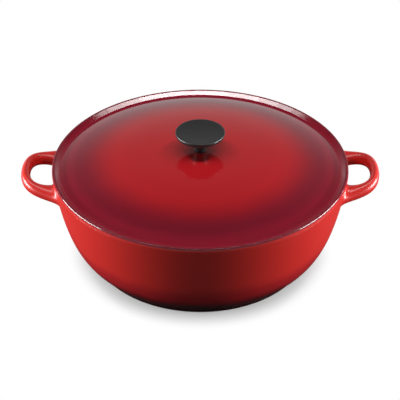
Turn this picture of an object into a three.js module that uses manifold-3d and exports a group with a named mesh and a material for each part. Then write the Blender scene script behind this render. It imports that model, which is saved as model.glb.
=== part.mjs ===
// Enamelled cast-iron soup pot with a domed lid, in millimetres, +Z up.
// The origin is on the table under the middle of the pot, and the two loop handles lie along X.
import * as THREE from 'three';
import { mergeVertices } from 'three/addons/utils/BufferGeometryUtils.js';
import Module from 'manifold-3d';

// Pot casting
const RIM_RADIUS = 159; // outside of the pot at its rim
const RIM_HEIGHT = 105.5; // top of the rim above the table
const RIM_WIDTH = 4.2; // flat land that carries the lid
const RIM_ROUND = 1; // rounding of the land's two edges
const RIM_DEPTH = 9; // how far down the inside the rim's thickness reaches
const WALL = 3.8; // thickness of the side
const WALL_UPRIGHT = 0.77; // share of the height over which the side stays near upright
const WALL_LEAN = 10; // how far the side leans in over that share
const BELLY_RUN = 16; // reach and rise of the belly's curve out of the foot
const BELLY_RISE = 14;
const FOOT_RADIUS = 120.8; // outside of the foot ring
const FOOT_HEIGHT = 3; // height of the foot ring's side
const FOOT_STEP = 1.2; // how far the side tucks in above the foot ring
const FOOT_CHAMFER = 0.6; // lower edge of the foot ring
const REST_WIDTH = 14; // ring of the underside that touches the table
const BASE_RECESS = 0.8; // middle of the underside, raised off the table
const BASE = 4.6; // thickness of the floor
const FLOOR_BLEND = 14; // height of the inside curve between floor and side

// Loop handles, cast with the pot
const HANDLE_DROP = 14.2; // middle of the bar under the rim, where it leaves the wall
const HANDLE_RISE = 7; // how much higher the bar is at its tip
const HANDLE_REACH = 34.5; // outer edge of the tip, out from the rim
const HANDLE_SPAN = 57; // finger gap along the wall
const BAR_WIDTH = 9.8; // bar seen from above, at the tip
const BAR_HEIGHT = 14.6; // bar seen from the side, at the tip
const LEG_SHARE = 0.44; // straight part of the bar, of its reach out of the wall
const CORNER_SHARE = 1.08; // fullness of the loop's corners
const ROOT_HEIGHT = 19; // bar seen from the side, where it ends in the wall
const ROOT_FLARE = 16; // how far the bar's outer edge spreads along the wall there
const ROOT_FILLET = 10; // how far its inner edge does
const ROOT_SHARPNESS = 4; // a higher power keeps the spread closer to the wall

// Lid casting
const SEAT_GAP = 0.3; // clearance between faces that rest on each other
const LID_OVERHANG = 0.4; // lid's edge outside the pot's rim
const LIP_HEIGHT = 4.8; // raised lip round the lid, above the seat
const LIP_WIDTH = 3.2; // top of the lip
const LIP_ROUND = 1.6; // rounding of the lip's edges
const GUTTER_RUN = 4.6; // inner slope of the lip, down to the gutter round the dome
const GUTTER_DEPTH = 3.9; // gutter under the lip's top
const LID_RISE = 17.5; // dome above its gutter
const LID_WALL = 3.6; // thickness of the dome
const DOME_FLAT = 0.55; // share of the radius over which the dome stays near level
const DOME_SHOULDER = 0.84; // share of the radius where the dome turns down to its gutter
const DOME_SHOULDER_DROP = 0.5; // share of the rise lost by then
const SKIRT_PLAY = 1.2; // locating ring inside the pot's rim, all round
const SKIRT_WIDTH = 3.5;
const SKIRT_DEPTH = 6;
const SKIRT_CHAMFER = 0.8;

// Knob and its fixing
const KNOB_RADIUS = 26.5; // widest part of the disc
const KNOB_HEIGHT = 23.4; // from the lid to the disc's upper edge
const KNOB_DISH = 0.9; // hollow of the disc's top
const KNOB_TOP_RADIUS = 24.4; // upper edge of the disc
const KNOB_EDGE = 2.6; // from the upper edge down to the widest part
const KNOB_UNDERCUT = 3.2; // from the widest part down to the disc's underside
const NECK_RADIUS = 6.6; // neck where it stands on the lid
const NECK_TOP_RADIUS = 8.6; // neck where it spreads into the disc
const NECK_HEIGHT = 12;
const SCREW_RADIUS = 2.5;
const SCREW_HOLE_PLAY = 0.5; // screw in the lid's hole, all round
const FIT_GAP = 0.3; // screw in the insert, and insert in the knob, all round
const INSERT_WALL = 1.4;
const INSERT_LENGTH = 11;
const INSERT_INSET = 0.5; // insert's end inside the knob's foot
const SCREW_ENGAGE = 8; // length of screw inside the insert
const HEAD_RADIUS = 5;
const HEAD_HEIGHT = 3.2;
const HEAD_ROUND = 1.6;
const WASHER_RADIUS = 8;
const WASHER_THICKNESS = 1.2;
const PAD_MARGIN = 1.5; // flat of the lid beyond the washer

// Fineness of the round surfaces
const CASTING_SIDES = 64;
const KNOB_SIDES = 40;
const SMALL_SIDES = 24;
const SIDE_STEPS = 13;
const DOME_STEPS = 10;
const CURVE_STEPS = 3;
const LOOP_STEPS = 14;
const BAR_SIDES = 14;
const WELD = 0.001; // points closer than this are one point

// Heights and radii that follow from the sizes above
const FLOOR_HEIGHT = BASE_RECESS + BASE;
const LID_SEAT = RIM_HEIGHT + SEAT_GAP;
const LID_RADIUS = RIM_RADIUS + LID_OVERHANG;
const LIP_TOP = LID_SEAT + LIP_HEIGHT;
const GUTTER = LIP_TOP - GUTTER_DEPTH;
const DOME_RADIUS = LID_RADIUS - LIP_WIDTH - GUTTER_RUN;
const DOME_TOP = GUTTER + LID_RISE;
const PAD_RADIUS = WASHER_RADIUS + PAD_MARGIN;
const SCREW_HOLE = SCREW_RADIUS + SCREW_HOLE_PLAY;
const SKIRT_OUTER = RIM_RADIUS - RIM_WIDTH - SKIRT_PLAY;
const SKIRT_INNER = SKIRT_OUTER - SKIRT_WIDTH;
const KNOB_FOOT = DOME_TOP + SEAT_GAP;
const INSERT_FOOT = KNOB_FOOT + INSERT_INSET;
const INSERT_BORE = SCREW_RADIUS + FIT_GAP;
const INSERT_RADIUS = INSERT_BORE + INSERT_WALL;
const KNOB_BORE = INSERT_RADIUS + FIT_GAP;
const KNOB_BORE_TOP = INSERT_FOOT + INSERT_LENGTH + FIT_GAP;
const WASHER_TOP = DOME_TOP - LID_WALL - SEAT_GAP;
const HEAD_TOP = WASHER_TOP - WASHER_THICKNESS - SEAT_GAP;

const wasm = await Module();
wasm.setup();

const redEnamel = new THREE.MeshStandardMaterial({ color: 0xa8101c, roughness: 0.12, metalness: 0 });
const blackPhenolic = new THREE.MeshStandardMaterial({ color: 0x1d1d1e, roughness: 0.4, metalness: 0 });
const brass = new THREE.MeshStandardMaterial({ color: 0xb5914c, roughness: 0.35, metalness: 1 });
const steel = new THREE.MeshStandardMaterial({ color: 0xb9babc, roughness: 0.3, metalness: 1 });

// A point of an outline: distance from the axis, and height.
function at(radius, height) {
  return new THREE.Vector2(radius, height);
}

// A round solid from an outline drawn from the bottom of its axis outwards and up.
function turned(outline, sides) {
  return new THREE.LatheGeometry(outline, sides).rotateX(Math.PI / 2);
}

function named(name, geometry, material) {
  const mesh = new THREE.Mesh(geometry, material);
  mesh.name = name;
  return mesh;
}

// Conversions for joining and cutting solids.
function toSolid(geometry) {
  const bare = geometry.clone();
  bare.deleteAttribute('normal');
  bare.deleteAttribute('uv');
  const merged = mergeVertices(bare, WELD);
  const corners = [];
  for (let i = 0; i < merged.index.count; i += 3) {
    const [a, b, c] = merged.index.array.subarray(i, i + 3);
    if (a !== b && b !== c && c !== a) {
      corners.push(a, b, c);
    }
  }
  const vertProperties = new Float32Array(merged.attributes.position.array);
  const mesh = new wasm.Mesh({ numProp: 3, vertProperties, triVerts: new Uint32Array(corners) });
  return new wasm.Manifold(mesh);
}

function toGeometry(solid) {
  const mesh = solid.getMesh();
  const geometry = new THREE.BufferGeometry();
  geometry.setAttribute('position', new THREE.BufferAttribute(mesh.vertProperties, 3));
  geometry.setIndex(new THREE.BufferAttribute(mesh.triVerts, 1));
  return geometry;
}

// Outside of the pot's side, from the foot ring up to the rim.
const side = new THREE.CubicBezierCurve(
  at(FOOT_RADIUS - FOOT_STEP, FOOT_HEIGHT),
  at(FOOT_RADIUS - FOOT_STEP + BELLY_RUN, FOOT_HEIGHT + BELLY_RISE),
  at(RIM_RADIUS - WALL_LEAN, RIM_HEIGHT - WALL_UPRIGHT * (RIM_HEIGHT - FOOT_HEIGHT)),
  at(RIM_RADIUS, RIM_HEIGHT - RIM_ROUND),
);

// The side's outline moved inwards, square to itself.
function sideInset(depth) {
  const points = [];
  for (let step = 0; step <= SIDE_STEPS; step += 1) {
    const point = side.getPoint(step / SIDE_STEPS);
    const tangent = side.getTangent(step / SIDE_STEPS);
    points.push(at(point.x - depth * tangent.y, point.y + depth * tangent.x));
  }
  return points;
}

// Radius of the outside of the side at a height.
function sideRadius(height) {
  const points = sideInset(0);
  const upper = points.findIndex((point) => point.y >= height);
  const above = points[upper];
  const below = points[upper - 1];
  return THREE.MathUtils.mapLinear(height, below.y, above.y, below.x, above.x);
}

// The pot without handles: foot ring, belly, thickened rim and a floor that curves up into the side.
function potShell() {
  const restInner = FOOT_RADIUS - FOOT_CHAMFER - REST_WIDTH;
  const landInner = RIM_RADIUS - RIM_WIDTH;
  const outline = new THREE.Path();
  outline.moveTo(0, BASE_RECESS);
  outline.lineTo(restInner - BASE_RECESS, BASE_RECESS);
  outline.lineTo(restInner, 0);
  outline.lineTo(FOOT_RADIUS - FOOT_CHAMFER, 0);
  outline.lineTo(FOOT_RADIUS, FOOT_CHAMFER);
  outline.lineTo(FOOT_RADIUS, FOOT_HEIGHT);
  sideInset(0).forEach((point) => outline.lineTo(point.x, point.y));
  outline.quadraticCurveTo(RIM_RADIUS, RIM_HEIGHT, RIM_RADIUS - RIM_ROUND, RIM_HEIGHT);
  outline.lineTo(landInner + RIM_ROUND, RIM_HEIGHT);
  outline.quadraticCurveTo(landInner, RIM_HEIGHT, landInner, RIM_HEIGHT - RIM_ROUND);
  const lowest = FLOOR_HEIGHT + FLOOR_BLEND;
  const highest = RIM_HEIGHT - RIM_DEPTH;
  const inside = sideInset(WALL).filter((point) => point.y > lowest && point.y < highest);
  inside.reverse().forEach((point) => outline.lineTo(point.x, point.y));
  const [above, last] = inside.slice(-2);
  const corner = THREE.MathUtils.mapLinear(FLOOR_HEIGHT, above.y, last.y, above.x, last.x);
  const reach = Math.hypot(last.x - corner, last.y - FLOOR_HEIGHT);
  outline.quadraticCurveTo(corner, FLOOR_HEIGHT, corner - reach, FLOOR_HEIGHT);
  outline.lineTo(0, FLOOR_HEIGHT);
  return turned(outline.getPoints(CURVE_STEPS), CASTING_SIDES);
}

// What fills the pot up to the middle of its wall, which trims the handles' roots.
function potCore() {
  const middle = sideInset(WALL / 2);
  const foot = middle[0];
  const rim = middle[middle.length - 1];
  const top = RIM_HEIGHT + ROOT_HEIGHT;
  return turned([at(0, foot.y), ...middle, at(rim.x, top), at(0, top)], CASTING_SIDES);
}

// Half a D seen from above, from its straight leg in the wall round to its tip on the X axis.
function halfLoop(rootRadius, halfSpan, tip) {
  const root = Math.sqrt(rootRadius ** 2 - halfSpan ** 2);
  const reach = tip - root;
  return new THREE.CubicBezierCurve(
    at(root, halfSpan),
    at(root + LEG_SHARE * reach, halfSpan),
    at(tip, CORNER_SHARE * halfSpan),
    at(tip, 0),
  );
}

// One loop on the +X side: an oval bar between an inner and an outer D, which spreads into the
// wall at both roots and rises a little towards its tip.
function loopHandle() {
  const rootHeight = RIM_HEIGHT - HANDLE_DROP;
  const rootRadius = sideRadius(rootHeight) - WALL;
  const tipOuter = RIM_RADIUS + HANDLE_REACH;
  const tipInner = tipOuter - BAR_WIDTH;
  const innerHalf = HANDLE_SPAN / 2;
  const outerHalf = innerHalf + BAR_WIDTH;
  const potAxis = at(0, 0);
  const inner = halfLoop(rootRadius, innerHalf, tipInner);
  const outer = halfLoop(rootRadius, outerHalf, tipOuter);
  const rings = [];
  for (let step = -LOOP_STEPS; step <= LOOP_STEPS; step += 1) {
    const along = 1 - Math.abs(step) / LOOP_STEPS;
    const hand = step < 0 ? -1 : 1;
    const spread = (1 - along) ** ROOT_SHARPNESS;
    const near = inner.getPoint(along);
    const far = outer.getPoint(along);
    near.rotateAround(potAxis, (-ROOT_FILLET * spread) / rootRadius);
    far.rotateAround(potAxis, (ROOT_FLARE * spread) / rootRadius);
    const middle = rootHeight + HANDLE_RISE * THREE.MathUtils.smoothstep(along, 0, 1);
    const height = THREE.MathUtils.lerp(BAR_HEIGHT, ROOT_HEIGHT, spread);
    const ring = [];
    for (let corner = 0; corner < BAR_SIDES; corner += 1) {
      const angle = (2 * Math.PI * corner) / BAR_SIDES;
      const across = (1 + Math.cos(angle)) / 2;
      const x = THREE.MathUtils.lerp(near.x, far.x, across);
      const y = THREE.MathUtils.lerp(near.y, far.y, across) * hand;
      ring.push(new THREE.Vector3(x, y, middle + (height / 2) * Math.sin(angle)));
    }
    rings.push(ring);
  }
  return lofted(rings);
}

// A closed skin over rings of equally many points, with a flat end at each side.
function lofted(rings) {
  const sides = rings[0].length;
  const points = rings.flat();
  const corners = [];
  for (let ring = 0; ring < rings.length - 1; ring += 1) {
    for (let corner = 0; corner < sides; corner += 1) {
      const a = ring * sides + corner;
      const b = ring * sides + ((corner + 1) % sides);
      corners.push(a, a + sides, b, b, a + sides, b + sides);
    }
  }
  const last = (rings.length - 1) * sides;
  for (let corner = 1; corner < sides - 1; corner += 1) {
    corners.push(0, corner, corner + 1);
    corners.push(last, last + corner + 1, last + corner);
  }
  const geometry = new THREE.BufferGeometry().setFromPoints(points);
  geometry.setIndex(corners);
  return geometry;
}

// The pot: its shell with a loop joined to each side.
function pot() {
  const loop = toSolid(loopHandle()).subtract(toSolid(potCore()));
  const otherLoop = loop.rotate([0, 0, 180]);
  const casting = toSolid(potShell()).add(loop).add(otherLoop);
  return named('pot', toGeometry(casting), redEnamel);
}

// One face of the dome, from the edge of its flat pad out and down to where it ends.
function domePoints(top, endRadius, endHeight) {
  const curve = new THREE.CubicBezierCurve(
    at(PAD_RADIUS, top),
    at(DOME_RADIUS * DOME_FLAT, top),
    at(DOME_RADIUS * DOME_SHOULDER, top - LID_RISE * DOME_SHOULDER_DROP),
    at(endRadius, endHeight),
  );
  return curve.getPoints(DOME_STEPS);
}

// The lid: a pillow-shaped dome in a shallow gutter, a raised lip that rests on the rim, and a
// ring under it that drops inside. A flat pad in the middle takes the knob and the washer.
function lid() {
  const underside = DOME_TOP - LID_WALL;
  const innerTop = GUTTER - LID_WALL;
  const skirtFoot = LID_SEAT - SKIRT_DEPTH;
  const roundStart = LID_RADIUS - LIP_ROUND;
  const slopeTop = LID_RADIUS - LIP_WIDTH;
  const outline = new THREE.Path();
  outline.moveTo(SCREW_HOLE, underside);
  domePoints(underside, SKIRT_INNER, innerTop).forEach((point) => outline.lineTo(point.x, point.y));
  outline.lineTo(SKIRT_INNER, skirtFoot);
  outline.lineTo(SKIRT_OUTER - SKIRT_CHAMFER, skirtFoot);
  outline.lineTo(SKIRT_OUTER, skirtFoot + SKIRT_CHAMFER);
  outline.lineTo(SKIRT_OUTER, LID_SEAT);
  outline.lineTo(roundStart, LID_SEAT);
  outline.quadraticCurveTo(LID_RADIUS, LID_SEAT, LID_RADIUS, LID_SEAT + LIP_ROUND);
  outline.lineTo(LID_RADIUS, LIP_TOP - LIP_ROUND);
  outline.quadraticCurveTo(LID_RADIUS, LIP_TOP, roundStart, LIP_TOP);
  outline.lineTo(slopeTop, LIP_TOP);
  const dome = domePoints(DOME_TOP, DOME_RADIUS, GUTTER);
  dome.reverse().forEach((point) => outline.lineTo(point.x, point.y));
  outline.lineTo(SCREW_HOLE, DOME_TOP);
  outline.lineTo(SCREW_HOLE, underside);
  return named('lid', turned(outline.getPoints(CURVE_STEPS), CASTING_SIDES), redEnamel);
}

// The knob: a shallow dished disc on a slim neck, moulded round a bore for its insert.
function lidKnob() {
  const top = KNOB_FOOT + KNOB_HEIGHT;
  const widest = top - KNOB_EDGE;
  const neckTop = KNOB_FOOT + NECK_HEIGHT;
  const under = widest - KNOB_UNDERCUT;
  const outline = new THREE.Path();
  outline.moveTo(0, KNOB_BORE_TOP);
  outline.lineTo(KNOB_BORE, KNOB_BORE_TOP);
  outline.lineTo(KNOB_BORE, KNOB_FOOT);
  outline.lineTo(NECK_RADIUS, KNOB_FOOT);
  outline.lineTo(NECK_TOP_RADIUS, neckTop);
  outline.quadraticCurveTo(NECK_TOP_RADIUS, under, KNOB_TOP_RADIUS, under);
  outline.quadraticCurveTo(KNOB_RADIUS, under, KNOB_RADIUS, widest);
  outline.quadraticCurveTo(KNOB_RADIUS, top, KNOB_TOP_RADIUS, top);
  outline.quadraticCurveTo(KNOB_TOP_RADIUS / 2, top - KNOB_DISH, 0, top - KNOB_DISH);
  return named('lid_knob', turned(outline.getPoints(CURVE_STEPS), KNOB_SIDES), blackPhenolic);
}

// The threaded bush moulded into the knob.
function knobInsert() {
  const top = INSERT_FOOT + INSERT_LENGTH;
  const outline = [
    at(INSERT_BORE, INSERT_FOOT),
    at(INSERT_RADIUS, INSERT_FOOT),
    at(INSERT_RADIUS, top),
    at(INSERT_BORE, top),
    at(INSERT_BORE, INSERT_FOOT),
  ];
  return named('knob_insert', turned(outline, SMALL_SIDES), brass);
}

// The pan-head screw that comes up through the lid into the insert.
function knobScrew() {
  const foot = HEAD_TOP - HEAD_HEIGHT;
  const tip = INSERT_FOOT + SCREW_ENGAGE;
  const outline = new THREE.Path();
  outline.moveTo(0, foot);
  outline.lineTo(HEAD_RADIUS - HEAD_ROUND, foot);
  outline.quadraticCurveTo(HEAD_RADIUS, foot, HEAD_RADIUS, foot + HEAD_ROUND);
  outline.lineTo(HEAD_RADIUS, HEAD_TOP);
  outline.lineTo(SCREW_RADIUS, HEAD_TOP);
  outline.lineTo(SCREW_RADIUS, tip);
  outline.lineTo(0, tip);
  return named('knob_screw', turned(outline.getPoints(CURVE_STEPS), SMALL_SIDES), steel);
}

// The flat washer that spreads the screw's pull over the lid.
function knobWasher() {
  const foot = WASHER_TOP - WASHER_THICKNESS;
  const outline = [
    at(SCREW_HOLE, foot),
    at(WASHER_RADIUS, foot),
    at(WASHER_RADIUS, WASHER_TOP),
    at(SCREW_HOLE, WASHER_TOP),
    at(SCREW_HOLE, foot),
  ];
  return named('knob_washer', turned(outline, SMALL_SIDES), steel);
}

const soupPot = new THREE.Group();
soupPot.add(pot(), lid(), lidKnob(), knobInsert(), knobScrew(), knobWasher());

export default soupPot;
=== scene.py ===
import math

import bpy
from mathutils import Matrix, Vector


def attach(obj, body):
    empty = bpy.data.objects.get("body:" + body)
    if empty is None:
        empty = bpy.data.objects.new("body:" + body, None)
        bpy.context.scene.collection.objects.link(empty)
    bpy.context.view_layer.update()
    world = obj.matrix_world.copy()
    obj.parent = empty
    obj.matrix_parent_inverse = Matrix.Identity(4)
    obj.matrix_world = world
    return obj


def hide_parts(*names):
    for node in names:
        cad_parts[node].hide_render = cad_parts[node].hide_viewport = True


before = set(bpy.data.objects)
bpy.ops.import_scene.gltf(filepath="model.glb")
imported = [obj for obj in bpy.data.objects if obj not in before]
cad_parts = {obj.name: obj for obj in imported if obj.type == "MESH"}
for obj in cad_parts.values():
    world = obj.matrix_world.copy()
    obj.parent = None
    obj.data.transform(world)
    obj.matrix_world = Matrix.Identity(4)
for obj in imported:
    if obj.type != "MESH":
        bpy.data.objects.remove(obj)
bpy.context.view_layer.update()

# Pot: one iron casting, a flared side on a flat foot with a loop handle cast into each side.
# Cherry glass enamel is fired over the outside and a sand-coloured one over the inside. The rim and
# the foot ring, where thick glass would chip, carry only a thin matt dark coat.

# Sizes are in millimetres, up to the studio, and heights are above the table.
RIM_RADIUS = 159
RIM_HEIGHT = 105.5
RIM_WIDTH = 4.2
RIM_ROUND = 1
RIM_EDGE_ROUND = 0.4
RIM_DEPTH = 9
RIM_LAND = 6.3
RIM_LAND_ROUND = 0.6
WALL = 3.8
SIDE_LEAN = 10
SIDE_UPRIGHT = 0.77
BELLY_RUN = 16
BELLY_RISE = 14
FOOT_RADIUS = 120.8
FOOT_HEIGHT = 3
FOOT_STEP = 1.2
FOOT_ROUND = 0.9
FOOT_TUCK = 0.2
REST_WIDTH = 14
BASE_RECESS = 0.8
RECESS_ROUND = 0.5
FLOOR_HEIGHT = 5.4
FLOOR_BLEND = 14
SIDE_STEPS = 56
BLEND_STEPS = 14
POT_SIDES = 288

# How an outline's corners, seams and creases are made.
ROUND_LEAD = 1.4
SEAM_GAP = 0.001
SHARP_ANGLE = 38

# How far each coat reaches past the edge that it ends at.
RIM_COAT = 0.02
FOOT_COAT = 0.2
FOOT_COAT_LAP = 0.3
LINING_SLACK = 0.1

# The loop handles, from the wall out to the tip.
HANDLE_HEIGHT = 91.3
HANDLE_RISE = 7
HANDLE_TIP = 193.49
FINGER_GAP = 57
BAR_WIDTH = 9.8
BAR_HEIGHT = 14.6
ROOT_HEIGHT = 19
ROOT_FLARE = 16
ROOT_FILLET = 10
ROOT_POWER = 4
LEG_SHARE = 0.44
CORNER_SHARE = 1.08
WALL_FILLET = 3
FILLET_TUCK = 0.05
FILLET_STEPS = 7
BAR_STEPS = 44
BAR_SIDES = 40
ROOT_STEPS = 200

# The patterns of the enamels.
SPRAY_CLOUD = 22
GLOSS_PATCH = 35
PEEL_SIZE = 7
PEEL_DEPTH = 0.002
FRIT_FLECK = 1.6
LINING_RIPPLE = 6
LINING_RIPPLE_DEPTH = 0.012
PRIMER_MOTTLE = 2.5
PRIMER_GRAIN = 1.2
PRIMER_GRAIN_DEPTH = 0.02


def along(points, t):
    """The point at share t of the Bezier curve that these control points draw."""
    level = [Vector(point) for point in points]
    while len(level) > 1:
        level = [a.lerp(b, t) for a, b in zip(level, level[1:])]
    return level[0]


def swept(points, steps):
    """Evenly stepped points of a Bezier curve, both ends included."""
    return [along(points, step / steps) for step in range(steps + 1)]


def rounded(corners, steps=6):
    """An outline of (radius, height, rounding) corners, in which a rounded corner becomes a curve.

    A point just before and just after each curve keeps the flat stretches flat when they are shaded.
    """
    path = [Vector(corners[0][:2])]
    for before, corner, after in zip(corners, corners[1:], corners[2:]):
        here = Vector(corner[:2])
        if not corner[2]:
            path.append(here)
            continue
        back = (Vector(before[:2]) - here).normalized()
        on = (Vector(after[:2]) - here).normalized()
        curve = [here + back * corner[2], here, here + on * corner[2]]
        path.append(here + back * corner[2] * ROUND_LEAD)
        path += swept(curve, steps)
        path.append(here + on * corner[2] * ROUND_LEAD)
    path.append(Vector(corners[-1][:2]))
    return path


def plain(path):
    """Points of a curve as corners that are left as they are."""
    return [(point.x, point.y, 0) for point in path]


def inset(path, depth):
    """A path moved to its left, square to itself."""
    moved = []
    for number, point in enumerate(path):
        before = path[max(number - 1, 0)]
        after = path[min(number + 1, len(path) - 1)]
        tangent = (after - before).normalized()
        moved.append(point + depth * Vector((-tangent.y, tangent.x)))
    return moved


def radius_at(path, height):
    """Radius of a rising path at a height."""
    for low, high in zip(path, path[1:]):
        if high.y >= height:
            return low.x + (high.x - low.x) * (height - low.y) / (high.y - low.y)
    return path[-1].x


def add(tree, kind, settings, inputs):
    """A node with its settings, whose inputs are given as values or as sockets to link."""
    node = tree.nodes.new(kind)
    for name, value in settings.items():
        setattr(node, name, value)
    for name, value in inputs.items():
        if isinstance(value, bpy.types.NodeSocket):
            tree.links.new(value, node.inputs[name])
        else:
            node.inputs[name].default_value = value
    return node


def turning_tree():
    """Turns an outline round Z. Ridges run along the points whose ridge share isn't 0."""
    tree = bpy.data.node_groups.new("Turned outline", "GeometryNodeTree")
    face = tree.interface
    face.new_socket("Outline", in_out="INPUT", socket_type="NodeSocketGeometry")
    face.new_socket("Sides", in_out="INPUT", socket_type="NodeSocketInt")
    face.new_socket("Ridges", in_out="INPUT", socket_type="NodeSocketFloat")
    face.new_socket("Ridge lead", in_out="INPUT", socket_type="NodeSocketFloat")
    face.new_socket("Ridge depth", in_out="INPUT", socket_type="NodeSocketFloat")
    face.new_socket("Material", in_out="INPUT", socket_type="NodeSocketMaterial")
    face.new_socket("Solid", in_out="OUTPUT", socket_type="NodeSocketGeometry")
    given = add(tree, "NodeGroupInput", {}, {}).outputs
    outline = given["Outline"]
    size = add(tree, "GeometryNodeAttributeDomainSize", {}, {"Geometry": outline})
    rows = size.outputs["Point Count"]
    columns = add(tree, "FunctionNodeIntegerMath", {"operation": "ADD"}, {0: given["Sides"], 1: 1})
    grid = add(
        tree,
        "GeometryNodeMeshGrid",
        {},
        {"Vertices X": columns.outputs[0], "Vertices Y": rows},
    )
    index = add(tree, "GeometryNodeInputIndex", {}, {}).outputs[0]
    column = add(tree, "FunctionNodeIntegerMath", {"operation": "DIVIDE_FLOOR"}, {0: index, 1: rows})
    row = add(tree, "FunctionNodeIntegerMath", {"operation": "MODULO"}, {0: index, 1: rows})
    share = add(tree, "ShaderNodeMath", {"operation": "DIVIDE"}, {0: column.outputs[0], 1: given["Sides"]})
    angle = add(tree, "ShaderNodeMath", {"operation": "MULTIPLY"}, {0: share.outputs[0], 1: math.tau})
    position = add(tree, "GeometryNodeInputPosition", {}, {}).outputs[0]
    place = add(
        tree,
        "GeometryNodeSampleIndex",
        {"data_type": "FLOAT_VECTOR"},
        {"Geometry": outline, "Value": position, "Index": row.outputs[0]},
    )
    ridged = add(tree, "GeometryNodeInputNamedAttribute", {"data_type": "FLOAT"}, {"Name": "ridge"})
    weight = add(
        tree,
        "GeometryNodeSampleIndex",
        {"data_type": "FLOAT"},
        {"Geometry": outline, "Value": ridged.outputs[0], "Index": row.outputs[0]},
    )
    height = add(tree, "ShaderNodeSeparateXYZ", {}, {0: place.outputs[0]}).outputs["Z"]
    climb = add(tree, "ShaderNodeMath", {"operation": "MULTIPLY"}, {0: height, 1: given["Ridge lead"]})
    phase = add(
        tree,
        "ShaderNodeMath",
        {"operation": "MULTIPLY_ADD"},
        {0: angle.outputs[0], 1: given["Ridges"], 2: climb.outputs[0]},
    )
    wave = add(tree, "ShaderNodeMath", {"operation": "COSINE"}, {0: phase.outputs[0]})
    depth = add(
        tree,
        "ShaderNodeMath",
        {"operation": "MULTIPLY"},
        {0: wave.outputs[0], 1: given["Ridge depth"]},
    )
    swell = add(
        tree,
        "ShaderNodeMath",
        {"operation": "MULTIPLY"},
        {0: depth.outputs[0], 1: weight.outputs[0]},
    )
    shift = add(tree, "ShaderNodeCombineXYZ", {}, {"X": swell.outputs[0]})
    moved = add(
        tree,
        "ShaderNodeVectorMath",
        {"operation": "ADD"},
        {0: place.outputs[0], 1: shift.outputs[0]},
    )
    turn = add(
        tree,
        "ShaderNodeVectorRotate",
        {"rotation_type": "Z_AXIS"},
        {"Vector": moved.outputs[0], "Angle": angle.outputs[0]},
    )
    skin = add(
        tree,
        "GeometryNodeSetPosition",
        {},
        {"Geometry": grid.outputs["Mesh"], "Position": turn.outputs[0]},
    )
    closed = add(
        tree,
        "GeometryNodeMergeByDistance",
        {},
        {"Geometry": skin.outputs[0], "Distance": SEAM_GAP / 1000},
    )
    smooth = add(tree, "GeometryNodeSetShadeSmooth", {}, {"Geometry": closed.outputs[0]})
    real = add(tree, "GeometryNodeRealizeInstances", {}, {"Geometry": smooth.outputs[0]})
    finished = add(
        tree,
        "GeometryNodeSetMaterial",
        {},
        {"Geometry": real.outputs[0], "Material": given["Material"]},
    )
    add(tree, "NodeGroupOutput", {}, {"Solid": finished.outputs[0]})
    return tree


turning = turning_tree()


def settle(piece):
    """Keeps what the piece's modifiers make as its own mesh, without the empty slot of a new one."""
    evaluated = piece.evaluated_get(bpy.context.evaluated_depsgraph_get())
    piece.data = bpy.data.meshes.new_from_object(evaluated)
    piece.modifiers.clear()
    if piece.data.materials[0] is None:
        piece.data.materials.pop(index=0)
    piece.data.set_sharp_from_angle(angle=math.radians(SHARP_ANGLE))


def turned(name, outline, sides, material, ridge=None):
    """A piece turned from an outline in millimetres, which runs from the underside outwards."""
    mesh = bpy.data.meshes.new(name)
    points = [(point.x / 1000, 0, point.y / 1000) for point in outline]
    mesh.from_pydata(points, [(number, number + 1) for number in range(len(points) - 1)], [])
    shares = mesh.attributes.new("ridge", "FLOAT", "POINT")
    piece = bpy.data.objects.new(name, mesh)
    bpy.context.collection.objects.link(piece)
    values = {"Sides": sides, "Material": material}
    if ridge:
        low, high = ridge["rows"]
        for number in range(low, high):
            shares.data[number].value = 1
        values.update(ridge["sizes"])
    modifier = piece.modifiers.new("turn", "NODES")
    modifier.node_group = turning
    for socket in turning.interface.items_tree:
        if socket.in_out == "INPUT" and socket.name in values:
            modifier[socket.identifier] = values[socket.name]
    settle(piece)
    return piece


def linear(code):
    """An sRGB hex colour as the linear values that a shader takes."""
    shares = [int(code[at : at + 2], 16) / 255 for at in (1, 3, 5)]
    return [s / 12.92 if s <= 0.04045 else ((s + 0.055) / 1.055) ** 2.4 for s in shares] + [1]


def material(name, settings):
    """A material with one Principled shader, and that shader's tree."""
    made = bpy.data.materials.new(name)
    made.use_nodes = True
    shader = made.node_tree.nodes["Principled BSDF"]
    for socket, value in settings.items():
        shader.inputs[socket].default_value = value
    return made, made.node_tree, shader


def drift(tree, size, low, high):
    """A value that wanders between low and high in soft patches of this size in millimetres.

    The noise itself mostly stays between 0.3 and 0.7.
    """
    place = add(tree, "ShaderNodeTexCoord", {}, {}).outputs["Object"]
    noise = add(tree, "ShaderNodeTexNoise", {}, {"Vector": place, "Scale": 1000 / size, "Detail": 2.0})
    spread = add(
        tree,
        "ShaderNodeMapRange",
        {},
        {"Value": noise.outputs["Fac"], "From Min": 0.3, "From Max": 0.7, "To Min": low, "To Max": high},
    )
    return spread.outputs[0]


def shaded(tree, shader, share, stops):
    """Colours a finish along a share of 0 to 1, through (share, hex colour) stops."""
    node = add(tree, "ShaderNodeValToRGB", {}, {"Fac": share})
    band = node.color_ramp
    band.interpolation = "EASE"
    while len(band.elements) < len(stops):
        band.elements.new(0.5)
    for element, (place, code) in zip(band.elements, stops):
        element.position = place
        element.color = linear(code)
    tree.links.new(node.outputs["Color"], shader.inputs["Base Color"])


def surface(tree, shader, roughness, height, depth):
    """Gives a finish its roughness, and bumps that are this deep in millimetres."""
    tree.links.new(roughness, shader.inputs["Roughness"])
    bump = add(tree, "ShaderNodeBump", {}, {"Height": height, "Distance": depth / 1000})
    tree.links.new(bump.outputs["Normal"], shader.inputs["Normal"])


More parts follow.
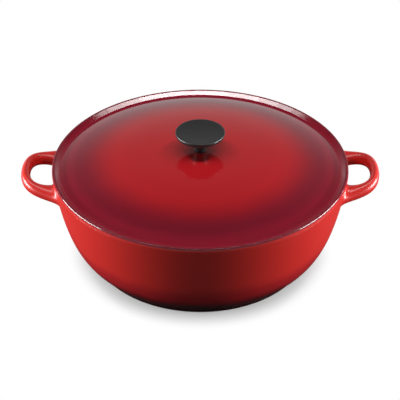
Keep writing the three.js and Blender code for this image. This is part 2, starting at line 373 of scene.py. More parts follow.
# Softly glossy cherry glass with the faint orange peel of a fired glaze. It is sprayed on in thin clouds
# and darkens to maroon towards the foot, partly the glaze's own fade and partly painted shade of the
# belly, which faces down.
cherry, cherry_tree, cherry_shader = material("Cherry glass enamel", {"IOR": 1.5})
cherry_place = add(cherry_tree, "ShaderNodeTexCoord", {}, {}).outputs["Object"]
cherry_height = add(cherry_tree, "ShaderNodeSeparateXYZ", {}, {0: cherry_place}).outputs["Z"]
cherry_rise = add(
    cherry_tree,
    "ShaderNodeMath",
    {"operation": "MULTIPLY_ADD"},
    {0: cherry_height, 1: 1000 / RIM_HEIGHT, 2: drift(cherry_tree, SPRAY_CLOUD, -0.02, 0.02)},
)
# Darker towards the foot: part the glaze's own maroon fade, part painted shade of the downward-facing
# belly.
shaded(
    cherry_tree,
    cherry_shader,
    cherry_rise.outputs[0],
    [(0.0, "#220509"), (0.14, "#42070e"), (0.34, "#a4141c"), (0.53, "#c42621")],
)
cherry_gloss = drift(cherry_tree, GLOSS_PATCH, 0.3, 0.36)
cherry_peel = drift(cherry_tree, PEEL_SIZE, 0, 1)
surface(cherry_tree, cherry_shader, cherry_gloss, cherry_peel, PEEL_DEPTH)

# Smooth sand-coloured glass of the cooking surface, which also coats the lid's inside. Fine flecks of
# the frit show in it, drawn a little coarser than they are.
sand, sand_tree, sand_shader = material("Sand glass enamel", {"IOR": 1.5})
sand_fleck = drift(sand_tree, FRIT_FLECK, 0, 1)
shaded(sand_tree, sand_shader, sand_fleck, [(0.0, "#d9ccb1"), (0.35, "#e3d8c0"), (1.0, "#e6dcc6")])
sand_gloss = drift(sand_tree, GLOSS_PATCH, 0.2, 0.26)
sand_ripple = drift(sand_tree, LINING_RIPPLE, 0, 1)
surface(sand_tree, sand_shader, sand_gloss, sand_ripple, LINING_RIPPLE_DEPTH)

# Thin matt primer coat, mottled where it lies over the iron, that shows as a dark line round the rim
# and the foot ring.
primer, primer_tree, primer_shader = material("Matt dark primer enamel", {"Specular IOR Level": 0.15})
primer_mottle = drift(primer_tree, PRIMER_MOTTLE, 0, 1)
shaded(primer_tree, primer_shader, primer_mottle, [(0.0, "#221210"), (1.0, "#321d1a")])
primer_gloss = drift(primer_tree, GLOSS_PATCH, 0.7, 0.8)
primer_grain = drift(primer_tree, PRIMER_GRAIN, 0, 1)
surface(primer_tree, primer_shader, primer_gloss, primer_grain, PRIMER_GRAIN_DEPTH)

side = swept(
    [
        (FOOT_RADIUS - FOOT_STEP, FOOT_HEIGHT),
        (FOOT_RADIUS - FOOT_STEP + BELLY_RUN, FOOT_HEIGHT + BELLY_RISE),
        (RIM_RADIUS - SIDE_LEAN, RIM_HEIGHT - SIDE_UPRIGHT * (RIM_HEIGHT - FOOT_HEIGHT)),
        (RIM_RADIUS, RIM_HEIGHT - RIM_ROUND),
    ],
    SIDE_STEPS,
)
lining = [
    point
    for point in inset(side, WALL)
    if FLOOR_HEIGHT + FLOOR_BLEND < point.y < RIM_HEIGHT - RIM_DEPTH
]
lining.reverse()
lean = (lining[-1].x - lining[-2].x) / (lining[-1].y - lining[-2].y)
corner = lining[-1].x - lean * (lining[-1].y - FLOOR_HEIGHT)
blend = swept(
    [
        lining[-1],
        (corner, FLOOR_HEIGHT),
        (corner - (lining[-1] - Vector((corner, FLOOR_HEIGHT))).length, FLOOR_HEIGHT),
    ],
    BLEND_STEPS,
)
rest_inner = FOOT_RADIUS - FOOT_ROUND - REST_WIDTH
land_inner = RIM_RADIUS - RIM_WIDTH
pot_outline = rounded(
    [
        (0, BASE_RECESS, 0),
        (rest_inner - BASE_RECESS, BASE_RECESS, RECESS_ROUND),
        (rest_inner, 0, RECESS_ROUND),
        (FOOT_RADIUS, 0, FOOT_ROUND),
        (FOOT_RADIUS, FOOT_HEIGHT - FOOT_TUCK, FOOT_ROUND),
        *plain(side[1:]),
        (RIM_RADIUS, RIM_HEIGHT, RIM_EDGE_ROUND),
        (land_inner, RIM_HEIGHT, RIM_ROUND),
        (land_inner, RIM_HEIGHT - RIM_LAND, RIM_LAND_ROUND),
        *plain(lining),
        *plain(blend[1:]),
        (0, FLOOR_HEIGHT, 0),
    ]
)
pot = turned("enamelled_pot", pot_outline, POT_SIDES, cherry)


def half_loop(root_radius, half_span, tip):
    """Control points of half a D seen from above, from the wall round to the tip."""
    root = math.sqrt(root_radius**2 - half_span**2)
    leg = root + LEG_SHARE * (tip - root)
    return [(root, half_span), (leg, half_span), (tip, CORNER_SHARE * half_span), (tip, 0)]


def bar_ring(share):
    """The oval section of the bar at a share of the way from its root to its tip."""
    root_radius = radius_at(side, HANDLE_HEIGHT) - WALL
    spread = (1 - share) ** ROOT_POWER
    near = along(half_loop(root_radius, FINGER_GAP / 2, HANDLE_TIP - BAR_WIDTH), share)
    far = along(half_loop(root_radius, FINGER_GAP / 2 + BAR_WIDTH, HANDLE_TIP), share)
    near.rotate(Matrix.Rotation(-ROOT_FILLET * spread / root_radius, 2))
    far.rotate(Matrix.Rotation(ROOT_FLARE * spread / root_radius, 2))
    middle = HANDLE_HEIGHT + HANDLE_RISE * share * share * (3 - 2 * share)
    height = BAR_HEIGHT + (ROOT_HEIGHT - BAR_HEIGHT) * spread
    ring = []
    for number in range(BAR_SIDES):
        turn = math.tau * number / BAR_SIDES
        spot = near.lerp(far, (1 + math.cos(turn)) / 2)
        ring.append(Vector((spot.x, spot.y, middle + height / 2 * math.sin(turn))))
    return ring


def clearance(point):
    """How far a point is outside the pot's side."""
    return math.hypot(point.x, point.y) - radius_at(side, point.z)


def on_wall(point, depth):
    """A point moved level to this depth under the outside of the wall."""
    level = Vector((point.x, point.y, 0)).normalized() * (radius_at(side, point.z) - depth)
    return Vector((level.x, level.y, point.z))


def root_rings():
    """Rings that lead the bar into the wall through a hollow fillet, from inside the wall outwards."""
    steps = [step / ROOT_STEPS for step in range(1, ROOT_STEPS // 2)]
    rings = [bar_ring(share) for share in steps]
    foot = []
    for number in range(BAR_SIDES):
        line = [ring[number] for ring in rings]
        foot.append(next(point for point in line if clearance(point) > 0))
    start = next(at for at, ring in enumerate(rings) if min(map(clearance, ring)) > WALL_FILLET)
    edge = []
    for number, point in enumerate(foot):
        run = foot[(number + 1) % BAR_SIDES] - foot[number - 1]
        outward = Vector((point.x, point.y, 0)).normalized()
        edge.append(on_wall(point + run.cross(outward).normalized() * WALL_FILLET, FILLET_TUCK))
    lead = [[on_wall(point, WALL / 2) for point in edge], edge]
    for step in range(1, FILLET_STEPS):
        share = step / FILLET_STEPS
        lead.append([along(three, share) for three in zip(edge, foot, rings[start])])
    return lead, steps[start]


def loop_handle():
    """One closed loop on the +X side, with both roots inside the wall."""
    lead, start = root_rings()
    bar = [bar_ring(start + (1 - start) * step / BAR_STEPS) for step in range(BAR_STEPS + 1)]
    half = lead + bar
    mirror = Matrix.Diagonal((1, -1, 1))
    rings = half + [[mirror @ point for point in ring] for ring in reversed(half[:-1])]
    points = [point / 1000 for ring in rings for point in ring]
    faces = []
    for ring in range(len(rings) - 1):
        for number in range(BAR_SIDES):
            here = ring * BAR_SIDES + number
            beside = ring * BAR_SIDES + (number + 1) % BAR_SIDES
            faces.append((here, beside, beside + BAR_SIDES, here + BAR_SIDES))
    last = (len(rings) - 1) * BAR_SIDES
    faces.append(tuple(reversed(range(BAR_SIDES))))
    faces.append(tuple(range(last, last + BAR_SIDES)))
    mesh = bpy.data.meshes.new("loop")
    mesh.from_pydata(points, [], faces)
    mesh.materials.append(cherry)
    mesh.shade_smooth()
    return mesh


def merge(piece, mesh, operation):
    """Joins a mesh to a piece, or cuts it out of it."""
    tool = bpy.data.objects.new("tool", mesh)
    bpy.context.collection.objects.link(tool)
    modifier = piece.modifiers.new("merge", "BOOLEAN")
    modifier.object = tool
    modifier.operation = operation
    modifier.solver = "EXACT"
    settle(piece)
    bpy.data.objects.remove(tool)


def coat(piece, finish):
    """Gives a piece one more finish and tells its number."""
    piece.data.materials.append(finish)
    return len(piece.data.materials) - 1


loop = loop_handle()
merge(pot, loop, "UNION")
loop.transform(Matrix.Rotation(math.pi, 4, "Z"))
merge(pot, loop, "UNION")
inside_coat = coat(pot, sand)
bare_coat = coat(pot, primer)
middle = inset(side, WALL / 2)
for face in pot.data.polygons:
    spot = face.center * 1000
    reach = math.hypot(spot.x, spot.y)
    on_rim = spot.z > RIM_HEIGHT - RIM_COAT and reach < RIM_RADIUS
    on_foot = spot.z < FOOT_COAT and reach > rest_inner - FOOT_COAT_LAP
    if on_rim or on_foot:
        face.material_index = bare_coat
    elif spot.z > FLOOR_HEIGHT - LINING_SLACK and reach < radius_at(middle, spot.z):
        face.material_index = inside_coat
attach(pot, "pot")
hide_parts("pot")

# Lid: an iron casting like the pot, domed inside a gutter and a raised lip, with a ring below that
# drops inside the rim. Its enamel fades from cherry in the middle to maroon at the lip, partly a sprayed
# fade and partly painted shade, and a lighter band over the gutter is painted light.
# The inside is sand-coloured, and the seat and the ring carry only the dark coat.
LID_RADIUS = 159.4
LID_SEAT = 105.8
LIP_TOP = 110.6
LIP_WIDTH = 3.2
LIP_ROUND = 1.5
LIP_FALL = 4.4
LIP_FOOT_ROUND = 0.25
GUTTER_RADIUS = 151.6
GUTTER_HEIGHT = 106.7
GUTTER_ROUND = 0.4
DOME_TOP = 124.2
DOME_FLAT = 0.55
DOME_SHOULDER = 0.84
DOME_DROP = 8.75
LID_WALL = 3.6
PAD_RADIUS = 9.5
SCREW_HOLE = 3
HOLE_ROUND = 0.3
HOLE_SEAM = 1
SKIRT_OUTER = 153.6
SKIRT_INNER = 150.1
SKIRT_FOOT = 99.8
SKIRT_ROUND = 0.8
SEAT_ROUND = 0.5
DOME_STEPS = 60
LIP_STEPS = 12
LID_SIDES = 320
LID_PEEL_DEPTH = 0.001

# How far each coat reaches past the edge that it ends at, and the slope that counts as facing down.
COAT_LAP = 0.2
SEAT_COAT = 0.02
DOWNWARD = 0.1

# Glass with a brighter gloss than the pot's side, in the same clouds. It is cherry over most of the dome
# and maroon towards the lip, partly the enamel's own fade and partly painted shade. A lighter band over
# the gutter and the lip's inner slope is painted light.
fade_and_shade, faded_tree, faded_shader = material("Cherry glass enamel fading and shaded to the lip", {"IOR": 1.5})
faded_place = add(faded_tree, "ShaderNodeTexCoord", {}, {}).outputs["Object"]
faded_spread = add(
    faded_tree,
    "ShaderNodeMapping",
    {},
    {"Vector": faded_place, "Scale": (1000 / LID_RADIUS, 1000 / LID_RADIUS, 0)},
)
faded_reach = add(
    faded_tree,
    "ShaderNodeTexGradient",
    {"gradient_type": "SPHERICAL"},
    {"Vector": faded_spread.outputs[0]},
)
fade_and_shade_share = add(
    faded_tree,
    "ShaderNodeMath",
    {"operation": "ADD"},
    {0: faded_reach.outputs["Fac"], 1: drift(faded_tree, SPRAY_CLOUD, -0.008, 0.008)},
)
# Maroon towards the lip is part sprayed fade, part painted shade; the lighter stops near the lip paint
# light into the gutter.
shaded(
    faded_tree,
    faded_shader,
    fade_and_shade_share.outputs[0],
    [
        (0.01, "#721424"),
        (0.035, "#90182c"),
        (0.09, "#841629"),
        (0.18, "#701323"),
        (0.46, "#ab181e"),
        (1.0, "#b61c22"),
    ],
)
faded_gloss = drift(faded_tree, GLOSS_PATCH, 0.09, 0.13)
faded_peel = drift(faded_tree, PEEL_SIZE, 0, 1)
surface(faded_tree, faded_shader, faded_gloss, faded_peel, LID_PEEL_DEPTH)


def dome(top, end_radius, end_height):
    """One face of the dome, from its flat pad out and down."""
    return swept(
        [
            (PAD_RADIUS, top),
            (GUTTER_RADIUS * DOME_FLAT, top),
            (GUTTER_RADIUS * DOME_SHOULDER, top - DOME_DROP),
            (end_radius, end_height),
        ],
        DOME_STEPS,
    )


dome_under = dome(DOME_TOP - LID_WALL, SKIRT_INNER, GUTTER_HEIGHT - LID_WALL)
dome_over = dome(DOME_TOP, GUTTER_RADIUS, GUTTER_HEIGHT)
dome_over.reverse()
lip = swept(
    [(LID_RADIUS, LIP_TOP - LIP_FALL), (LID_RADIUS, LIP_TOP), (LID_RADIUS - LIP_ROUND, LIP_TOP)],
    LIP_STEPS,
)
lid_outline = rounded(
    [
        (SCREW_HOLE, DOME_TOP - HOLE_SEAM, 0),
        (SCREW_HOLE, DOME_TOP - LID_WALL, HOLE_ROUND),
        *plain(dome_under[:-1]),
        (*dome_under[-1], SKIRT_ROUND),
        (SKIRT_INNER, SKIRT_FOOT, SKIRT_ROUND),
        (SKIRT_OUTER, SKIRT_FOOT, SKIRT_ROUND),
        (SKIRT_OUTER, LID_SEAT, SEAT_ROUND),
        (LID_RADIUS, LID_SEAT, LIP_FOOT_ROUND),
        *plain(lip),
        (LID_RADIUS - LIP_WIDTH, LIP_TOP, GUTTER_ROUND),
        (*dome_over[0], GUTTER_ROUND),
        *plain(dome_over[1:]),
        (SCREW_HOLE, DOME_TOP, HOLE_ROUND),
        (SCREW_HOLE, DOME_TOP - HOLE_SEAM, 0),
    ]
)
lid = turned("enamelled_lid", lid_outline, LID_SIDES, fade_and_shade)
inside_coat = coat(lid, sand)
bare_coat = coat(lid, primer)
edge_coat = coat(lid, cherry)
for face in lid.data.polygons:
    spot = face.center * 1000
    reach = math.hypot(spot.x, spot.y)
    if face.normal.z < DOWNWARD and reach < SKIRT_INNER + COAT_LAP:
        face.material_index = inside_coat
    elif spot.z < LID_SEAT + SEAT_COAT and reach > SKIRT_INNER + COAT_LAP:
        face.material_index = bare_coat
    elif reach > LID_RADIUS - COAT_LAP:
        face.material_index = edge_coat
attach(lid, "lid")
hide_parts("lid")

# Knob: a dished disc on a slim neck, compression-moulded in black phenolic round its brass bush.
# It stands on the flat pad in the middle of the lid and is pulled down by the screw below.
KNOB_FOOT = 124.5
KNOB_TOP = 147.9
KNOB_RADIUS = 26.5
KNOB_WIDEST = 146.2
KNOB_UNDER = 142.1
KNOB_TOP_RADIUS = 25.3
KNOB_UNDER_RADIUS = 22
KNOB_DISH = 0.9
KNOB_FOOT_ROUND = 0.5
NECK_RADIUS = 6.6
NECK_TOP_RADIUS = 8.6
NECK_TOP = 136.5
NECK_EASE = 0.2
NECK_EASE_RISE = 1.5
NECK_SWELL = 0.9
NECK_SWELL_DROP = 4
KNOB_BORE = 4.5
KNOB_BORE_TOP = 136.3
BORE_TOP_ROUND = 0.3
BORE_FOOT_ROUND = 0.4
NECK_STEPS = 8
FLARE_STEPS = 16
EDGE_STEPS = 12
DISH_STEPS = 16
KNOB_SIDES = 128
FILLER_SPECK = 1.2
FILLER_GRAIN = 0.8
FILLER_GRAIN_DEPTH = 0.003

# Satin black plastic that catches soft light on its rolled edge. The specks and the grain of its filler
# are drawn coarser than they are, so that they show.
phenolic, phenolic_tree, phenolic_shader = material("Black phenolic", {"IOR": 1.55})
phenolic_speck = drift(phenolic_tree, FILLER_SPECK, 0, 1)
shaded(phenolic_tree, phenolic_shader, phenolic_speck, [(0.0, "#141415"), (1.0, "#1a1a1b")])
phenolic_gloss = drift(phenolic_tree, GLOSS_PATCH, 0.37, 0.43)
phenolic_grain = drift(phenolic_tree, FILLER_GRAIN, 0, 1)
surface(phenolic_tree, phenolic_shader, phenolic_gloss, phenolic_grain, FILLER_GRAIN_DEPTH)

neck = swept(
    [
        (NECK_RADIUS + NECK_EASE, KNOB_FOOT + NECK_EASE_RISE),
        (NECK_RADIUS + NECK_SWELL, NECK_TOP - NECK_SWELL_DROP),
        (NECK_TOP_RADIUS, NECK_TOP),
    ],
    NECK_STEPS,
)
flare = swept(
    [(NECK_TOP_RADIUS, NECK_TOP), (NECK_TOP_RADIUS, KNOB_UNDER), (KNOB_UNDER_RADIUS, KNOB_UNDER)],
    FLARE_STEPS,
)
edge_under = swept(
    [(KNOB_UNDER_RADIUS, KNOB_UNDER), (KNOB_RADIUS, KNOB_UNDER), (KNOB_RADIUS, KNOB_WIDEST)],
    EDGE_STEPS,
)
edge_over = swept(
    [(KNOB_RADIUS, KNOB_WIDEST), (KNOB_RADIUS, KNOB_TOP), (KNOB_TOP_RADIUS, KNOB_TOP)],
    EDGE_STEPS,
)
dish_bottom = KNOB_TOP - KNOB_DISH
dish = swept(
    [(KNOB_TOP_RADIUS, KNOB_TOP), (KNOB_TOP_RADIUS / 2, dish_bottom), (0, dish_bottom)],
    DISH_STEPS,
)
knob_outline = rounded(
    [
        (0, KNOB_BORE_TOP, 0),
        (KNOB_BORE, KNOB_BORE_TOP, BORE_TOP_ROUND),
        (KNOB_BORE, KNOB_FOOT, BORE_FOOT_ROUND),
        (NECK_RADIUS, KNOB_FOOT, KNOB_FOOT_ROUND),
        *plain(neck),
        *plain(flare[1:]),
        *plain(edge_under[1:]),
        *plain(edge_over[1:]),
        *plain(dish[1:]),
    ]
)
knob = turned("moulded_knob", knob_outline, KNOB_SIDES, phenolic)
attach(knob, "lid")
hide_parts("lid_knob")

# Bush: a brass tube, turned on a lathe and moulded into the knob. Its knurled outside keys it into the
# plastic. The thread in its bore, which holds the screw, is left plain here.
BUSH_BORE = 2.8
BUSH_RADIUS = 4.2
BUSH_FOOT = 125
BUSH_TOP = 136
BUSH_ROUND = 0.3
BUSH_BORE_ROUND = 0.25
KNURL_TEETH = 24
KNURL_DEPTH = 0.12
KNURL_MARGIN = 2
TOOTH_STEPS = 6
TARNISH_PATCH = 3
LATHE_FEED = 0.25
LATHE_DEPTH = 0.003

# Bright brass that glints along the fine rings left by the lathe, with a slight tarnish.
brass, brass_tree, brass_shader = material("Turned brass", {"Metallic": 1})
brass_tarnish = drift(brass_tree, TARNISH_PATCH, 0, 1)
shaded(brass_tree, brass_shader, brass_tarnish, [(0.0, "#b98f4a"), (1.0, "#cba45c")])
brass_place = add(brass_tree, "ShaderNodeTexCoord", {}, {}).outputs["Object"]
brass_height = add(brass_tree, "ShaderNodeSeparateXYZ", {}, {0: brass_place}).outputs["Z"]
brass_turns = add(
    brass_tree,
    "ShaderNodeMath",
    {"operation": "MULTIPLY"},
    {0: brass_height, 1: math.tau * 1000 / LATHE_FEED},
)
brass_ring = add(brass_tree, "ShaderNodeMath", {"operation": "SINE"}, {0: brass_turns.outputs[0]})
brass_gloss = drift(brass_tree, GLOSS_PATCH, 0.28, 0.38)
surface(brass_tree, brass_shader, brass_gloss, brass_ring.outputs[0], LATHE_DEPTH)

bush_middle = (BUSH_FOOT + BUSH_TOP) / 2
knurl_radius = BUSH_RADIUS - KNURL_DEPTH
knurl_foot = BUSH_FOOT + KNURL_MARGIN
bush_outline = rounded(
    [
        (BUSH_BORE, bush_middle, 0),
        (BUSH_BORE, BUSH_FOOT, BUSH_BORE_ROUND),
        (knurl_radius, BUSH_FOOT, BUSH_ROUND),
        (knurl_radius, knurl_foot, 0),
        (knurl_radius, BUSH_TOP - KNURL_MARGIN, 0),
        (knurl_radius, BUSH_TOP, BUSH_ROUND),
        (BUSH_BORE, BUSH_TOP, BUSH_BORE_ROUND),
        (BUSH_BORE, bush_middle, 0),
    ]
)
knurl_start = next(number for number, point in enumerate(bush_outline) if point.y == knurl_foot)
bush = turned(
    "brass_bush",
    bush_outline,
    KNURL_TEETH * TOOTH_STEPS,
    brass,
    {
        "rows": (knurl_start, knurl_start + 2),
        "sizes": {"Ridges": KNURL_TEETH, "Ridge lead": 0.0, "Ridge depth": KNURL_DEPTH / 1000},
    },
)
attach(bush, "lid")
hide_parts("knob_insert")

# Screw: a stainless pan-head machine screw with a cross recess and a rolled thread.
# It comes up through the washer and the lid into the brass bush.
SCREW_RADIUS = 2.5
SCREW_TIP = 133
HEAD_RADIUS = 5
HEAD_FOOT = 115.6
HEAD_TOP = 118.8
HEAD_ROUND = 1.6
SHANK_ROUND = 0.3
TIP_LENGTH = 0.6
TIP_TAPER = 0.8
THREAD_PITCH = 0.8
THREAD_DEPTH = 0.2
THREAD_START = 121
STEPS_PER_TURN = 10
SCREW_SIDES = 64
RECESS_LENGTH = 5.4
RECESS_WIDTH = 1.1
RECESS_DEPTH = 1.9
WING_LEAD = 1
WING_MOUTH = 1.15
WING_TIP = 0.55
WING_TAPER = 0.3
TINT_PATCH = 2
GRAIN_LENGTH = 4
GRAIN_WIDTH = 0.2
GRAIN_DEPTH = 0.004

# Bright stainless steel with the straight grain of rolled stock, which stretches its gloss along X.
# The grain is drawn coarser than it is, so that it shows.
steel, steel_tree, steel_shader = material("Rolled stainless steel", {"Metallic": 1})
steel_tint = drift(steel_tree, TINT_PATCH, 0, 1)
shaded(steel_tree, steel_shader, steel_tint, [(0.0, "#bfbebb"), (1.0, "#cdccc9")])
steel_place = add(steel_tree, "ShaderNodeTexCoord", {}, {}).outputs["Object"]
steel_stretch = add(
    steel_tree,
    "ShaderNodeMapping",
    {},
    {"Vector": steel_place, "Scale": (1000 / GRAIN_LENGTH, 1000 / GRAIN_WIDTH, 1000 / GRAIN_WIDTH)},
)
steel_grain = add(
    steel_tree,
    "ShaderNodeTexNoise",
    {},
    {"Vector": steel_stretch.outputs[0], "Scale": 1.0},
).outputs["Fac"]
steel_gloss = add(
    steel_tree,
    "ShaderNodeMapRange",
    {},
    {"Value": steel_grain, "To Min": 0.2, "To Max": 0.36},
)
surface(steel_tree, steel_shader, steel_gloss.outputs[0], steel_grain, GRAIN_DEPTH)

thread_length = SCREW_TIP - TIP_LENGTH - THREAD_START
thread_steps = round(thread_length / THREAD_PITCH * STEPS_PER_TURN)
thread = [
    Vector((SCREW_RADIUS - THREAD_DEPTH, THREAD_START + thread_length * step / thread_steps))
    for step in range(thread_steps + 1)
]
screw_outline = rounded(
    [
        (0, HEAD_FOOT, 0),
        (HEAD_RADIUS, HEAD_FOOT, HEAD_ROUND),
        (HEAD_RADIUS, HEAD_TOP, SHANK_ROUND),
        (SCREW_RADIUS - THREAD_DEPTH, HEAD_TOP, SHANK_ROUND),
        *plain(thread),
        (SCREW_RADIUS - TIP_TAPER, SCREW_TIP, 0),
        (0, SCREW_TIP, 0),
    ]
)
thread_start = next(number for number, point in enumerate(screw_outline) if point.y == thread[0].y)
screw = turned(
    "pan_head_screw",
    screw_outline,
    SCREW_SIDES,
    steel,
    {
        "rows": (thread_start + 1, thread_start + thread_steps),
        "sizes": {
            "Ridges": 1,
            "Ridge lead": -math.tau / (THREAD_PITCH / 1000),
            "Ridge depth": THREAD_DEPTH / 1000,
        },
    },
)


def driver_wing(turn):
    """One pair of the driver's wings, a bar across the axis that narrows towards its tip."""
    points = []
    for height, share in ((HEAD_FOOT - WING_LEAD, WING_MOUTH), (HEAD_FOOT + RECESS_DEPTH, WING_TIP)):
        length = RECESS_LENGTH / 2 * share
        width = RECESS_WIDTH / 2 * (1 - WING_TAPER * (1 - share))
        for x, y in ((-length, -width), (length, -width), (length, width), (-length, width)):
            points.append(Vector((x, y, height)) / 1000)
    sides = [(near, (near + 1) % 4, (near + 1) % 4 + 4, near + 4) for near in range(4)]
    mesh = bpy.data.meshes.new("wing")
    mesh.from_pydata(points, [], [(3, 2, 1, 0), (4, 5, 6, 7), *sides])
    mesh.transform(Matrix.Rotation(turn, 4, "Z"))
    return mesh


merge(screw, driver_wing(0), "DIFFERENCE")
merge(screw, driver_wing(math.pi / 2), "DIFFERENCE")
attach(screw, "lid")
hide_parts("knob_screw")

# Washer: a plain disc stamped from stainless sheet, with one edge rounded more by the punch.
# It lies between the screw's head and the lid and spreads the screw's pull.
WASHER_HOLE = 3
WASHER_RADIUS = 8
WASHER_FOOT = 119.1
WASHER_TOP = 120.3
WASHER_ROUND = 0.2
PUNCH_ROUND = 0.35
WASHER_SIDES = 96
washer_middle = (WASHER_FOOT + WASHER_TOP) / 2
washer_outline = rounded(
    [
        (WASHER_HOLE, washer_middle, 0),
        (WASHER_HOLE, WASHER_FOOT, WASHER_ROUND),
        (WASHER_RADIUS, WASHER_FOOT, PUNCH_ROUND),
        (WASHER_RADIUS, WASHER_TOP, WASHER_ROUND),
        (WASHER_HOLE, WASHER_TOP, WASHER_ROUND),
        (WASHER_HOLE, washer_middle, 0),
    ]
)
washer = turned("plain_washer", washer_outline, WASHER_SIDES, steel)
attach(washer, "lid")
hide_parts("knob_washer")

# Studio: a wide sheet of white paper inside a pale horizon, sized in metres. An arc of narrow banks of
# light hangs overhead, wider towards its ends, and a low bank stands at each side.
PAPER_SIZE = 12
PAPER_DROP = 0.0003

# The distance over which the shadow fades out, and from which the paper shows white in a reflection.
SHADOW_NEAR = 0.117
SHADOW_FAR = 0.15
SHADOW_GLOW = 0.3
MIRROR_NEAR = 0.3
MIRROR_FAR = 0.9

# The sky in a reflection: how high and how far forward it dims, and to what share.
SKY_HEIGHT = 0.5
SKY_LOW = 0.33
BACK_START = 0.6
BACK_END = 0.97
FRONT_LOW = 0.2
AMBIENT = 0.05

# The lamps, with their powers in watts and the arc's angles in degrees.
ARC_RADIUS = 0.82
ARC_CENTRE = 0.6
ARC_HEIGHT = 1.15
ARC_END = 75
ARC_STEP = 15
ARC_WIDTH = 0.035
ARC_SPREAD = 0.24
ARC_POWER = 1.27
BANK_REACH = 1
BANK_FRONT = 0.035
BANK_HEIGHT = 0.13
BANK_AIM = 0.08
BANK_SIZE = (0.7, 0.2)
BANK_POWER = 15


def seen_directly(tree, mirrored):
    """1 where the camera looks, the mirrored share for a reflection or a view through glass."""
    path = add(tree, "ShaderNodeLightPath", {}, {}).outputs
    either = add(
        tree,
        "ShaderNodeMath",
        {"operation": "MAXIMUM"},
        {0: path["Is Glossy Ray"], 1: path["Is Transmission Ray"]},
    )
    share = add(tree, "ShaderNodeMath", {"operation": "MULTIPLY"}, {0: either.outputs[0], 1: mirrored})
    return add(
        tree,
        "ShaderNodeMath",
        {"operation": "MAXIMUM"},
        {0: path["Is Camera Ray"], 1: share.outputs[0]},
    ).outputs[0]


half = PAPER_SIZE / 2
floor_corners = [(-half, -half, 0), (half, -half, 0), (half, half, 0), (-half, half, 0)]
floor_mesh = bpy.data.meshes.new("floor")
floor_mesh.from_pydata(floor_corners, [], [(0, 1, 2, 3)])
floor = bpy.data.objects.new("floor", floor_mesh)
floor.location.z = -PAPER_DROP
bpy.context.collection.objects.link(floor)

# Matt white paper that takes the pot's shadow close by and is plain white further out. In a reflection
# it shows white from a distance only and grey close by, a painted shade of the floor round the pot, and
# it throws little light back up.
paper = bpy.data.materials.new("White paper")
paper.use_nodes = True
paper_tree = paper.node_tree
paper_tree.nodes.clear()
paper_place = add(paper_tree, "ShaderNodeTexCoord", {}, {}).outputs["Object"]
paper_reach = add(paper_tree, "ShaderNodeVectorMath", {"operation": "LENGTH"}, {0: paper_place})
paper_glow = add(
    paper_tree,
    "ShaderNodeMapRange",
    {"interpolation_type": "SMOOTHSTEP"},
    {
        "Value": paper_reach.outputs["Value"],
        "From Min": SHADOW_NEAR,
        "From Max": SHADOW_FAR,
        "To Min": SHADOW_GLOW,
        "To Max": 1.0,
    },
)
paper_lit = add(paper_tree, "ShaderNodeBsdfDiffuse", {}, {"Color": linear("#e8e8e8")})
paper_own = add(paper_tree, "ShaderNodeEmission", {}, {})
paper_seen = add(
    paper_tree,
    "ShaderNodeMixShader",
    {},
    {0: paper_glow.outputs[0], 1: paper_lit.outputs[0], 2: paper_own.outputs[0]},
)
# Grey paper, which reflections see close by as a painted shade of the floor round the pot, and which
# throws only dim light back up.
paper_bounce = add(paper_tree, "ShaderNodeBsdfDiffuse", {}, {"Color": linear("#484848")})
paper_far = add(
    paper_tree,
    "ShaderNodeMapRange",
    {},
    {"Value": paper_reach.outputs["Value"], "From Min": MIRROR_NEAR, "From Max": MIRROR_FAR},
)
paper_share = seen_directly(paper_tree, paper_far.outputs[0])
paper_mix = add(
    paper_tree,
    "ShaderNodeMixShader",
    {},
    {0: paper_share, 1: paper_bounce.outputs[0], 2: paper_seen.outputs[0]},
)
add(paper_tree, "ShaderNodeOutputMaterial", {}, {"Surface": paper_mix.outputs[0]})
floor_mesh.materials.append(paper)

# White to the camera. In a reflection it is brightest at the back, low over the floor.
world = bpy.data.worlds.new("Studio")
world.use_nodes = True
bpy.context.scene.world = world
world_tree = world.node_tree
world_tree.nodes.clear()
world_way = add(world_tree, "ShaderNodeTexCoord", {}, {}).outputs["Object"]
world_axes = add(world_tree, "ShaderNodeSeparateXYZ", {}, {0: world_way}).outputs
world_shade = add(
    world_tree,
    "ShaderNodeMapRange",
    {},
    {"Value": world_axes["Z"], "From Min": 0.0, "From Max": SKY_HEIGHT, "To Min": 1.0, "To Max": SKY_LOW},
)
world_back = add(
    world_tree,
    "ShaderNodeMapRange",
    {},
    {
        "Value": world_axes["Y"],
        "From Min": BACK_START,
        "From Max": BACK_END,
        "To Min": FRONT_LOW,
        "To Max": 1.0,
    },
)
world_sky = add(
    world_tree,
    "ShaderNodeMath",
    {"operation": "MULTIPLY"},
    {0: world_shade.outputs[0], 1: world_back.outputs[0]},
)
world_strength = add(
    world_tree,
    "ShaderNodeMath",
    {"operation": "MAXIMUM"},
    {0: seen_directly(world_tree, world_sky.outputs[0]), 1: AMBIENT},
)
world_light = add(
    world_tree,
    "ShaderNodeBackground",
    {},
    {"Color": linear("#ffffff"), "Strength": world_strength.outputs[0]},
)
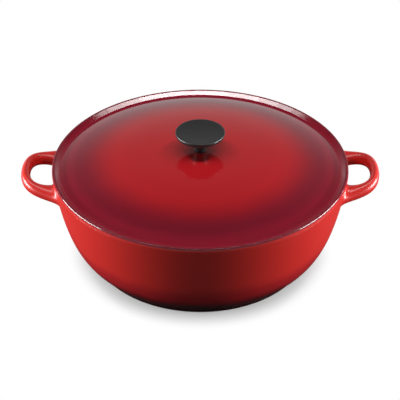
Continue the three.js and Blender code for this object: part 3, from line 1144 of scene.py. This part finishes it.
add(world_tree, "ShaderNodeOutputWorld", {}, {"Surface": world_light.outputs[0]})


def bank(name, place, target, size, power, roll=0):
    """A rectangular bank of light, size wide and high in metres, turned to a target."""
    lamp = bpy.data.lights.new(name, "AREA")
    lamp.shape = "RECTANGLE"
    lamp.size, lamp.size_y = size
    lamp.energy = power
    holder = bpy.data.objects.new(name, lamp)
    aim = (Vector(target) - Vector(place)).to_track_quat("-Z", "Y").to_matrix().to_4x4()
    holder.matrix_world = Matrix.Translation(place) @ aim @ Matrix.Rotation(math.radians(roll), 4, "Z")
    bpy.context.collection.objects.link(holder)


for turn in range(-ARC_END, ARC_END + 1, ARC_STEP):
    swing = math.radians(turn)
    over = Vector((ARC_RADIUS * math.sin(swing), ARC_CENTRE - ARC_RADIUS * math.cos(swing), ARC_HEIGHT))
    size = (ARC_RADIUS * math.radians(ARC_STEP), ARC_WIDTH + ARC_SPREAD * (1 - math.cos(swing)))
    # The hair of a tilt gives the bank's roll a direction to start from.
    bank("overhead", over, over + Vector((0, 0.005, -1)), size, ARC_POWER, turn)
for way in (-1, 1):
    place = (way * BANK_REACH, -BANK_FRONT, BANK_HEIGHT)
    bank("side", place, (0, 0, BANK_AIM), BANK_SIZE, BANK_POWER)

# Camera: a long lens at the front, which looks down on the lid. Its distance and aim are in metres,
# and its small shift only centres the frame.
CAMERA_TARGET = 0.075
CAMERA_DISTANCE = 1.3
CAMERA_ELEVATION = math.radians(33.837)
lens = bpy.data.cameras.new("camera")
lens.sensor_width = 36
lens.lens = 106.82
lens.shift_x = -0.0005
lens.shift_y = -0.0287
camera = bpy.data.objects.new("camera", lens)
stand = Vector((0, -math.cos(CAMERA_ELEVATION), math.sin(CAMERA_ELEVATION))) * CAMERA_DISTANCE
camera.location = Vector((0, 0, CAMERA_TARGET)) + stand
camera.rotation_euler = (math.pi / 2 - CAMERA_ELEVATION, 0, 0)
bpy.context.collection.objects.link(camera)
bpy.context.scene.camera = camera
bpy.context.scene.view_settings.view_transform = "Standard"
